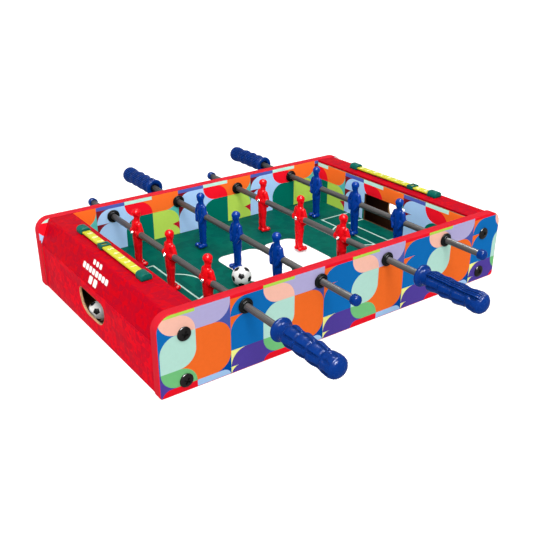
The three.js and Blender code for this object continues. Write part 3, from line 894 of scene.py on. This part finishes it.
def corner_block(face, side):
    node = f"{face}_{side}_corner_block"
    low, high = box_mm(node)
    sign = 1 if high.x > 0 else -1
    outline = rounded_rectangle(low.x, low.z, high.x, high.z, (1, 1, 1, 1), 3)
    holes = [circle(sign * BOLT_X, z, BOLT_HOLE, 20) for z in BOLT_HEIGHTS]
    shown_board(
        node, "raw_board", outline, high.y - low.y, lambda a, b, depth: (a, high.y - depth, b),
        (RAW_BOARD, []), (RAW_BOARD, []), RAW_BOARD, holes=holes, radius=BOARD_RADIUS, arc_steps=3,
    )


# Bolts and screws

BOLT_HEAD_RADIUS, BOLT_SHANK_RADIUS, BOLT_LENGTH = 8, 2.5, 28
DOME_TURNS = (0.25, 0.5, 0.75, 1.0, 1.25, 1.45)  # the steps over a dome, in radians


def cross_cutters(length, width, top, floor, finish):
    """Two bars that cut a cross recess from above, between two places along Y."""
    low, high = min(top, floor), max(top, floor)
    bars = ((length / 2, width / 2), (width / 2, length / 2))
    return [block_mesh("cross", (-x, low, -z), (x, high, z), finish) for x, z in bars]


def bolt_mesh():
    """A low domed head in front of Y 0 with a cross recess, and a shank behind."""
    head, shank, length = BOLT_HEAD_RADIUS, BOLT_SHANK_RADIUS, BOLT_LENGTH
    profile = [(0, -3.2)] + [(head * math.sin(t), -0.9 - 2.3 * math.cos(t)) for t in DOME_TURNS]
    profile += [(head, -0.8), (head - 0.2, -0.32), (shank + 0.1, -0.3), (shank, 0)]
    profile += [(shank, length - 1), (1.6, length), (0, length)]
    solid = lathe("bolt", profile, BOLT_BLACK, 56, crease=40)
    bevel = {"width": 0.22 * MM, "segments": 2, "limit_method": "ANGLE", "angle_limit": 0.9}
    return carved(solid, cross_cutters(7.6, 1.8, -5, -1.5, BOLT_BLACK), ("BEVEL", bevel))


def screw_mesh():
    """A small pan head with a cross recess, whose face is at Y 0."""
    profile = [(0, 0)] + [(2.5 * math.sin(t), 1.1 - 1.1 * math.cos(t)) for t in (0.3, 0.6, 0.9, 1.2, 1.5)]
    profile += [(2.5, 1.6), (1.1, 1.7), (1.1, 4), (0, 4)]
    head = lathe("screw", profile, SCREW_STEEL, 40, crease=40)
    return carved(head, cross_cutters(2.6, 0.6, -1, 0.8, SCREW_STEEL))


def bolts():
    mesh = bolt_mesh()
    for face, face_sign in FACES:
        turn = FACING[face_sign < 0]
        low, high = box_mm(f"{face}_side_panel")
        outer_y = low.y if face_sign < 0 else high.y
        for side, side_sign in SIDES:
            for level, height in zip(("lower", "upper"), BOLT_HEIGHTS):
                node = f"{face}_{side}_{level}_bolt"
                # Every cross recess has stopped at a turn of its own.
                tilt = Matrix.Rotation(0.5 + side_sign * 0.3 + height / 40, 4, "Y")
                place = (side_sign * BOLT_X, outer_y, height)
                detail(node, mesh, "table", "black_plastic", at=place, turn=turn @ tilt)


# Rods, bushings, caps and handles


ROD_RADIUS, ROD_BORE = 4.0, 3.0
BUSHING_HALF = 6.3  # from the middle of the panel to a flange
BUSHING_FLANGE = ((6.6, 0), (8.75, 0), (8.75, 1.9), (6.3, 2.6), (6.1, 3.6), (4.45, 3.6))
CAP_BORE, CAP_RADIUS, CAP_DEPTH, CAP_LENGTH = 4.4, 6.2, 7.0, 9.5


def bushing_mesh():
    upper = [(radius, BUSHING_HALF + rise) for radius, rise in BUSHING_FLANGE]
    profile = [(radius, -along) for radius, along in upper[::-1]] + upper
    return lathe("bushing", softened(profile, 0.5, steps=3), BLACK, 56, closed=True)


def rod_mesh(length):
    half = length / 2
    profile = [(ROD_BORE, -half), (ROD_RADIUS, -half), (ROD_RADIUS, half), (ROD_BORE, half)]
    return lathe("rod", softened(profile, 0.25, steps=2), STEEL, 48, closed=True)


def cap_mesh():
    """A closed cap over the end of a rod, from its open end at Y 0."""
    straight = 6.0
    outside = [(CAP_BORE, 0), (CAP_RADIUS - 0.5, 0), (CAP_RADIUS, 0.5), (CAP_RADIUS, straight)]
    for t in DOME_TURNS:
        outside.append((CAP_RADIUS * math.cos(t), straight + (CAP_LENGTH - straight) * math.sin(t)))
    profile = [(0, CAP_DEPTH), (CAP_BORE, CAP_DEPTH), *outside, (0, CAP_LENGTH)]
    return lathe("cap", profile, HANDLE_PLASTIC, 40)


HANDLE_LENGTH = 91.5
HANDLE_BORE = (4.4, 58.0)
MOUTH_RADIUS, MOUTH_DEPTH = 7.6, 4.6  # the wider mouth of the bore
HANDLE_SKIN = (
    (0, 12.2), (0.8, 12.9), (2.0, 13.2), (3.4, 12.9), (4.4, 11.4), (5.6, 9.8), (7.5, 9.2), (11, 9.2),
    (15, 10.2), (19, 11.0), (44, 11.0), (64, 11.0), (69, 10.8), (76, 11.8), (82, 12.3), (86.5, 11.4),
    (89.2, 9.3), (90.7, 6.4), (91.3, 3.0),
)
PAD_START, PAD_PITCH, PAD_ROWS = 15.0, 18.5, 3
PAD_COLUMNS = ((0.0, 28.0), (-54.0, 20.0), (54.0, 20.0))  # degrees round the handle: middle and half width
DIMPLES = (-27.0, 27.0, -80.0, 80.0)  # hollows round the ball end, in degrees
DIMPLE_PLACE, DIMPLE_LENGTH, DIMPLE_HALF_ARC = 80.0, 6.5, 15.0
PAD_SIDE = 84.0  # the pads lie this many degrees to each side, and the ribs on the rest
PAD_SINK, PAD_RISE = 0.9, 2.3  # the floor round the pads, and the pads over that floor
RIBS, RIB_SINK, RIB_RISE = 26, 1.1, 1.35
GRIP_WAVE = 0.45
DIMPLE_DEPTH = 1.5


def smooth_step(value, low, high):
    share = min(1.0, max(0.0, (value - low) / (high - low)))
    return share * share * (3 - 2 * share)


def skin_radius(along):
    """The handle's plain radius at a place along it."""
    for (s0, r0), (s1, r1) in zip(HANDLE_SKIN, HANDLE_SKIN[1:]):
        if along <= s1:
            share = (along - s0) / (s1 - s0)
            return r0 + (r1 - r0) * share * share * (3 - 2 * share)
    return HANDLE_SKIN[-1][1]


def raised(share, edge):
    """1 on the middle of a cell that runs from 0 to 1, falling to 0 at its ends."""
    return smooth_step(share, 0.0, edge) * smooth_step(1 - share, 0.0, edge)


def grip_relief(along, angle):
    """How far the grip stands above the plain radius: raised pads over one half, ribs over the other."""
    around = math.degrees((angle + math.pi) % (2 * math.pi) - math.pi)
    wave = GRIP_WAVE * math.sin((along - PAD_START) / PAD_PITCH * 2 * math.pi)
    wave *= smooth_step(along, PAD_START - 3, PAD_START + 2) * (1 - smooth_step(along, 66, 72))
    if abs(around) > PAD_SIDE:
        fade = smooth_step(along, 10, 15) * (1 - smooth_step(along, 86, 90.5))
        rib = abs(math.cos(RIBS * math.radians(around) / 2)) ** 0.8
        return fade * (RIB_RISE * rib - RIB_SINK) + wave
    row = (along - PAD_START) / PAD_PITCH
    if 0 <= row < PAD_ROWS:
        relief = -PAD_SINK
        for middle, half in PAD_COLUMNS:
            across = 1 - smooth_step(abs(around - middle), half - 7, half)
            rise = PAD_RISE * raised(row % 1, 0.17) * across * (1 - 0.45 * (row % 1))
            relief = max(relief, rise - PAD_SINK)
        return relief + wave
    relief = -PAD_SINK * smooth_step(along, PAD_START - 4, PAD_START) * (1 - smooth_step(along, 70.5, 74))
    for middle in DIMPLES:
        away = math.hypot((along - DIMPLE_PLACE) / DIMPLE_LENGTH, (around - middle) / DIMPLE_HALF_ARC)
        relief -= DIMPLE_DEPTH * (1 - smooth_step(away, 0.45, 1.0))
    return relief + wave


def handle_mesh():
    steps = 190
    skin = [HANDLE_LENGTH * 0.9985 * (i / steps) ** 0.97 for i in range(steps + 1)]
    bore_radius, bore_depth = HANDLE_BORE
    inner = [(0, bore_depth), (bore_radius, bore_depth), (bore_radius, MOUTH_DEPTH)]
    inner += [(MOUTH_RADIUS, MOUTH_DEPTH - 0.6), (MOUTH_RADIUS, 0.4), (MOUTH_RADIUS + 0.4, 0.0), (11.4, 0.0)]
    profile = inner + [(skin_radius(s), s) for s in skin[1:]] + [(0, HANDLE_LENGTH)]

    def radius_at(index, angle, radius):
        if index < len(inner):
            return radius
        return radius + grip_relief(profile[index][1], angle)

    return lathe("handle", profile, HANDLE_PLASTIC, 168, radius_at=radius_at, crease=60)


HANDLE_TURNS = (0.54, 1.9, 2.35, 1.6)


def rods():
    bushing, cap, handle = bushing_mesh(), cap_mesh(), handle_mesh()
    for index in range(1, 5):
        rod, bushings, players = f"rod_{index}", f"rod_{index}_bushings", f"rod_{index}_players"
        low, high = box_mm(rod)
        middle = (low + high) / 2
        detail(rod, rod_mesh(high.y - low.y), players, "rod_steel", at=middle)
        for face, _ in FACES:
            node = f"{rod}_{face}_bushing"
            low, high = box_mm(node)
            detail(node, bushing, bushings, "black_plastic", at=(low + high) / 2)
        for part, mesh in (("handle", handle), ("end_cap", cap)):
            node = f"{rod}_{part}"
            low, high = box_mm(node)
            outward = 1 if high.y > 0 else -1
            inner_end = (middle.x, low.y if outward > 0 else high.y, middle.z)
            turn = FACING[outward > 0]
            if part == "handle":
                turn = turn @ Matrix.Rotation(HANDLE_TURNS[index - 1], 4, "Y")
            detail(node, mesh, players, "blue_plastic", at=inner_end, turn=turn)


# Players: overlapping simple forms are fused by a fine remesh and smoothed, then the rod's hole is cut.


def fan_surface(rings):
    """Points and faces of a closed surface through equal rings, with a fan over each end."""
    points = [p for ring in rings for p in ring]
    count = len(rings[0])
    faces = []
    for level in range(len(rings) - 1):
        for i in range(count):
            j = (i + 1) % count
            a, b = level * count, (level + 1) * count
            faces.append([a + i, a + j, b + j, b + i])
    faces.append(list(range(count))[::-1])
    faces.append([(len(rings) - 1) * count + i for i in range(count)])
    return points, faces


def limb(start, start_radius, end, end_radius, count=20, caps=6):
    """A tapered rod with round ends."""
    start, end = Vector(start), Vector(end)
    axis = (end - start).normalized()
    side = axis.orthogonal().normalized()
    other = axis.cross(side)
    stops = [(start, start_radius, -math.pi / 2 * (1 - i / caps)) for i in range(caps + 1)]
    stops += [(end, end_radius, math.pi / 2 * i / caps) for i in range(caps + 1)]
    rings = []
    for centre, radius, tilt in stops:
        reach = max(radius * math.cos(tilt), 0.02)
        middle = centre + axis * radius * math.sin(tilt)
        ring = circle(0, 0, reach, count)
        rings.append([tuple(middle + side * a + other * b) for a, b in ring])
    return fan_surface(rings)


def ellipsoid(centre, radii, count=28, levels=14):
    rings = []
    for level in range(levels + 1):
        tilt = -math.pi / 2 + math.pi * level / levels
        reach = max(math.cos(tilt), 0.01)
        height = centre[2] + radii[2] * math.sin(tilt)
        ring = circle(0, 0, reach, count)
        rings.append([(centre[0] + radii[0] * a, centre[1] + radii[1] * b, height) for a, b in ring])
    return fan_surface(rings)


def oval_loft(levels, count=36):
    """A closed loft through level ovals: (height, half width in Y, half depth in X, shift in X)."""
    ring = circle(0, 0, 1, count)
    rings = []
    for height, width, depth, shift in levels:
        rings.append([(shift + depth * a, width * b, height) for a, b in ring])
    return fan_surface(rings)


PLAYER_BORE = 4.15
FUSING_GRAIN = 0.42
SCREW_HEIGHT = 0.9
SCREW_FACE = -8.3
TRUNK = (
    (-19, 6.3, 5.0, 0), (-14, 7.0, 5.4, 0), (-9, 7.3, 5.6, 0), (-4, 7.2, 5.9, 0), (2, 7.0, 6.1, 0),
    (8, 6.9, 5.9, 0), (12, 6.3, 5.0, 0.2), (15, 4.6, 4.0, 0.5),
)


def player_forms():
    """The forms of a player, facing +X, with the middle of the rod at the origin."""
    forms = [
        ellipsoid((1.2, 0, 26.2), (5.7, 5.6, 5.3)),
        ellipsoid((1.7, 0, 22.6), (4.7, 4.4, 4.8)),
        ellipsoid((6.2, 0, 23.2), (0.9, 0.9, 1.2)),
        limb((0.4, 0, 12), 4.2, (1.2, 0, 20), 3.7),
        oval_loft(TRUNK),
        limb((0, -9.4, 0), 5.1, (0, 9.4, 0), 5.1),
        limb((-4, 0, SCREW_HEIGHT), 3.2, (-4.6, 0, SCREW_HEIGHT), 3.0),
    ]
    for side in (-1, 1):
        forms += [
            limb((0.6, side * 6.5, 11.6), 3.5, (1.2, side * 10.0, 3.2), 3.3),
            limb((1.2, side * 10.0, 2.6), 3.1, (4.6, side * 5.8, -6.8), 2.5),
            ellipsoid((4.8, side * 5.4, -8.2), (2.5, 2.2, 2.8)),
            ellipsoid((1.4, side * 5.2, 23.4), (1.2, 0.9, 1.6)),
            limb((0, side * 3.2, -16), 4.4, (0, side * 2.7, -28), 3.5),
            limb((-0.1, side * 2.7, -29), 3.5, (-0.4, side * 2.8, -35), 3.6),
            limb((-0.4, side * 2.8, -35), 3.5, (0, side * 3.1, -43.4), 3.0),
            ellipsoid((6.4, side * 4.4, -44.6), (3.7, 3.7, 3.1)),
            limb((-1.4, side * 3.7, -44.6), 3.1, (5.6, side * 4.3, -44.8), 2.9),
        ]
    forms.append(oval_loft([(-44, 2.8, 2.0, -0.2), (-30, 3.0, 2.4, -0.1), (-16, 3.4, 3.4, 0)]))
    return forms


def player_mesh(team):
    points, faces = [], []
    for form_points, form_faces in player_forms():
        start = len(points)
        points += form_points
        faces += [[start + corner for corner in face] for face in form_faces]
    mesh = bpy.data.meshes.new(f"player_{team}")
    mesh.from_pydata([tuple(MM * c for c in p) for p in points], [], faces)
    fused = applied(
        new_object("fusing", mesh),
        ("REMESH", {"mode": "VOXEL", "voxel_size": FUSING_GRAIN * MM}),
        ("SMOOTH", {"factor": 0.5, "iterations": 7}),
    )
    fused.materials.clear()
    fused.materials.append(TEAM_PLASTIC[team])
    radius, reach = PLAYER_BORE, 20
    profile = [(0, -reach), (radius, -reach), (radius, reach), (0, reach)]
    hole = lathe("hole", profile, TEAM_PLASTIC[team], 48)
    return shaded_smooth(carved(fused, [hole]), 50)


def players():
    meshes = {team: player_mesh(team) for team in ("red", "blue")}
    screw = screw_mesh()
    for index, team in enumerate(TEAMS, 1):
        facing = FACING[team == "red"]
        rod_low, rod_high = box_mm(f"rod_{index}")
        for number in (1, 2, 3):
            node = f"rod_{index}_player_{number}"
            low, high = box_mm(node)
            middle = (rod_low + rod_high) / 2
            middle.y = (low.y + high.y) / 2
            body = f"rod_{index}_players"
            detail(node, meshes[team], body, f"{team}_plastic", at=middle, turn=facing)
            inward = facing @ Matrix.Translation(Vector((SCREW_FACE, 0, SCREW_HEIGHT)) * MM)
            inward = inward @ Matrix.Rotation(-math.pi / 2, 4, "Z")
            piece(f"{node}_screw", screw, body, "rod_steel", at=middle, turn=inward)


# Footballs


SEAM_DEPTH = 0.28
SEAM_WIDTH = 0.42
BALL_GAP = 0.02  # inside the CAD ball
PANEL_CUTS = 8


def football_mesh(radius, turn):
    """A ball of twelve black and twenty white panels with pressed seams, turned about its middle."""
    work = bmesh.new()
    bmesh.ops.create_icosphere(work, subdivisions=1, radius=1)
    third = {"offset": 100 / 3, "offset_type": "PERCENT"}
    bmesh.ops.bevel(work, geom=work.verts[:], affect="VERTICES", segments=1, profile=0.5, **third)
    panels = [[turn @ corner.co.normalized() for corner in face.verts] for face in work.faces]
    work.free()
    cuts = PANEL_CUTS
    points, faces, numbers = [], [], []
    for panel in panels:
        count = len(panel)
        middle = sum(panel, Vector()) / count
        walls = [a.cross(b).normalized() for a, b in zip(panel, panel[1:] + panel[:1])]
        for a, b in zip(panel, panel[1:] + panel[:1]):
            rows = []
            for down in range(cuts + 1):
                row = []
                for across in range(down + 1):
                    share = across / down if down else 0
                    point = middle.lerp(a.lerp(b, share), down / cuts).normalized()
                    gap = min(abs(math.asin(max(-1, min(1, point.dot(wall))))) for wall in walls) * radius
                    reach = radius - SEAM_DEPTH * math.exp(-((gap / SEAM_WIDTH) ** 2))
                    row.append(len(points))
                    points.append(tuple(point * reach))
                rows.append(row)
            for upper, lower in zip(rows, rows[1:]):
                for i in range(len(upper)):
                    faces.append([upper[i], lower[i], lower[i + 1]])
                    if i + 1 < len(upper):
                        faces.append([upper[i], lower[i + 1], upper[i + 1]])
            numbers += [1 if count == 5 else 0] * (cuts * cuts)
    return new_mesh("football", points, faces, [BALL_WHITE, BALL_BLACK], numbers, crease=80)


# Which way one black panel of a ball points, and how far the ball is turned about that
BALL_FACING, BALL_SPIN = (-0.53, -0.74, 0.42), 0.3


def footballs():
    upward = Vector((0, 0, 1))
    turn = upward.rotation_difference(Vector(BALL_FACING)) @ Quaternion(upward, BALL_SPIN)
    for node in ("pitch_ball", "tray_ball"):
        low, high = box_mm(node)
        mesh = football_mesh((high.z - low.z) / 2 - BALL_GAP, turn)
        detail(node, mesh, node, "ball_plastic", at=(low + high) / 2)


# Score rails and sliders

RAIL_CAP_LENGTH = 15.0
RAIL_CAP_CORNERS = (0.6, 0.6, 5, 5)
RAIL_BAR_WIDTH = 10.4
RAIL_RADIUS = 0.9
BAR_IN_CAP = 4.0
SLIDER_WALL = 1.0
SLIDER_GAP = 0.4
SLIDER_WINDOW = (7.4, 4.2)
DIGIT_COUNT = 10
DIGIT_HEIGHT = 6.8
DIGIT_FORM = {
    "size": DIGIT_HEIGHT * 1.35, "extrude": 0.2, "offset": 0.22, "bevel_depth": 0.08, "resolution_u": 4,
    "align_x": "CENTER", "align_y": "CENTER",
}


def bar_heights(side):
    """The bottom and the top of the bar, which the slider's box wraps around."""
    low, high = box_mm(f"{side}_score_slider")
    return low.z + SLIDER_WALL + SLIDER_GAP, high.z - SLIDER_WALL - SLIDER_GAP


def rail_cap(side, end, low, high):
    """A green end cap, arched across the bar."""
    inner, outer = (high.y - RAIL_CAP_LENGTH, high.y) if end > 0 else (low.y, low.y + RAIL_CAP_LENGTH)
    end_name = "rear" if end > 0 else "front"
    name = f"{side}_score_rail_{end_name}_cap"
    outline = rounded_rectangle(low.x, low.z, high.x, high.z, RAIL_CAP_CORNERS, 10)
    mesh = board(
        name, outline, outer - inner, lambda a, b, depth: (a, inner + depth, b),
        (GREEN, []), (GREEN, []), GREEN, radius=RAIL_RADIUS,
    )
    piece(name, mesh, "table", "marker_green")


def digits(side, sign, x, y_start, y_end, height):
    """The numbers 0 to 9, raised on the bar and read from the end of the table, in a paler yellow that
    paints the highlights on their raised faces.
    """
    points, faces = [], []
    turn = Matrix.Rotation(sign * math.pi / 2, 4, "Z")
    for number in range(DIGIT_COUNT):
        curve = bpy.data.curves.new("digit", "FONT")
        curve.body = str(number)
        for key, value in DIGIT_FORM.items():
            setattr(curve, key, value)
        mesh = applied(new_object("digit", curve))
        y = y_start + (y_end - y_start) * (number + 0.5) / DIGIT_COUNT
        start = len(points)
        points += [tuple(turn @ v.co + Vector((x, y, height))) for v in mesh.vertices]
        faces += [[start + c for c in p.vertices] for p in mesh.polygons]
    mesh = new_mesh(f"{side}_digits", points, faces, [DIGIT_HIGHLIGHT_YELLOW])
    piece(f"{side}_score_rail_digits", mesh, "table", "rail_yellow")


def score_rail(side, sign):
    node = f"{side}_score_rail"
    low, high = box_mm(node)
    middle_x = (low.x + high.x) / 2
    half = RAIL_BAR_WIDTH / 2
    bar_low, bar_high = low.y + RAIL_CAP_LENGTH, high.y - RAIL_CAP_LENGTH
    bottom, top = bar_heights(side)
    outline = rounded_rectangle(bar_low - BAR_IN_CAP, -half, bar_high + BAR_IN_CAP, half)
    mesh = board(
        f"{node}_bar", outline, top - bottom, lambda a, b, depth: (middle_x + b, a, top - depth),
        (YELLOW, []), (YELLOW, []), YELLOW, radius=RAIL_RADIUS,
    )
    detail(node, mesh, "table", "rail_yellow")
    for end in (-1, 1):
        rail_cap(side, end, low, high)
    digits(side, sign, middle_x, sign * bar_high, sign * bar_low, top)


def score_slider(side):
    """A sleeve round the bar with a slot across its top."""
    node = f"{side}_score_slider"
    low, high = box_mm(node)
    middle = (low + high) / 2
    bottom, top = bar_heights(side)
    inner_half = RAIL_BAR_WIDTH / 2 + SLIDER_GAP
    block = block_mesh(node, tuple(low), tuple(high), GREEN)
    channel_low = (middle.x - inner_half, low.y - 2, bottom - SLIDER_GAP)
    channel_high = (middle.x + inner_half, high.y + 2, top + SLIDER_GAP)
    channel = block_mesh("channel", channel_low, channel_high, GREEN)
    across, along = SLIDER_WINDOW
    window_low = (middle.x - across / 2, middle.y - along / 2, top - 1)
    window_high = (middle.x + across / 2, middle.y + along / 2, high.z + 2)
    window = block_mesh("window", window_low, window_high, GREEN)
    bevel = {"width": 0.45 * MM, "segments": 3, "limit_method": "ANGLE", "angle_limit": 0.6}
    mesh = shaded_smooth(carved(block, [channel, window], ("BEVEL", bevel)), 35)
    detail(node, mesh, node, "marker_green")


# Studio

# Each lamp: name, energy, spread in degrees, where it stands, and whether it lights or is only mirrored
LAMPS = (
    ("key", 1.5, 24, (-0.32, -0.75, 1.15), True),
    ("gloss_front", 34.0, 32, (-0.35, -0.8, 1.3), False),
    ("gloss_top", 14.0, 28, (0.25, 0.1, 1.0), False),
)
SKY_FROM = (-0.55, -0.55, 0.63)  # the side that the soft light comes from
SKY_LIGHT = (0.5, 1.25)  # its strength on the far side and on the near side
SKY_REACH = (-0.7, 0.9)  # how far round the sky the change from far to near runs
FLOOR_REACH = 12.0  # metres
FLOOR_DROP = 0.0005  # metres below the table, so that the two faces don't coincide
FLOOR_GLOW = 0.75


def studio():
    floor_mesh = bpy.data.meshes.new("floor")
    corners = [(x * FLOOR_REACH, y * FLOOR_REACH, 0) for x, y in ((-1, -1), (1, -1), (1, 1), (-1, 1))]
    floor_mesh.from_pydata(corners, [], [(0, 1, 2, 3)])
    finish = Finish("floor", (188, 188, 188), 0.9, specular=0.0)
    finish.set(finish.shader, {"Emission Color": (1, 1, 1, 1), "Emission Strength": FLOOR_GLOW})
    floor_mesh.materials.append(finish.material)
    floor = new_object("floor", floor_mesh)
    floor.location.z = -FLOOR_DROP
    floor.visible_diffuse = False
    floor.visible_glossy = False

    world = bpy.data.worlds.new("studio")
    nodes = Nodes(world)
    direction = nodes.add("ShaderNodeTexCoord").outputs["Generated"]
    towards = nodes.vector("DOT_PRODUCT", direction, SKY_FROM)
    fade = nodes.between(towards, *SKY_REACH, *SKY_LIGHT, interpolation_type="SMOOTHSTEP")
    seen = nodes.add("ShaderNodeLightPath").outputs["Is Camera Ray"]
    sky = {"Color": (1.0, 1.0, 1.0, 1.0), "Strength": nodes.math("MAXIMUM", fade, seen)}
    nodes.set(nodes.tree.nodes["Background"], sky)
    bpy.context.scene.world = world

    for name, energy, spread, place, lights_colour in LAMPS:
        sun = bpy.data.lights.new(name, "SUN")
        sun.energy = energy
        sun.angle = math.radians(spread)
        lamp = new_object(name, sun)
        lamp.rotation_euler = (-Vector(place)).to_track_quat("-Z", "Y").to_euler()
        lamp.visible_diffuse = lights_colour


def main_camera():
    data = bpy.data.cameras.new("camera")
    data.lens = CAMERA_LENS
    data.sensor_width = 36
    camera = new_object("camera", data)
    level = math.cos(CAMERA_ELEVATION)
    x, y = math.sin(CAMERA_AZIMUTH) * level, -math.cos(CAMERA_AZIMUTH) * level
    back = Vector((x, y, math.sin(CAMERA_ELEVATION)))
    camera.location = CAMERA_TARGET + back * CAMERA_DISTANCE
    turn = (-back).to_track_quat("-Z", "Y") @ Quaternion((0, 0, 1), CAMERA_ROLL)
    camera.rotation_euler = turn.to_euler()
    bpy.context.scene.camera = camera


bpy.context.scene.view_settings.view_transform = "Standard"
main_camera()
studio()
for face_name, face_sign in FACES:
    side_panel(face_name, face_sign)
playfield()
base_board()
for side_name, side_sign in SIDES:
    goal_wall(side_name, side_sign)
    end_wall(side_name, side_sign)
    end_cover(side_name, side_sign)
    score_rail(side_name, side_sign)
    score_slider(side_name)
    for face_name, _ in FACES:
        corner_block(face_name, side_name)
bolts()
rods()
players()
footballs()
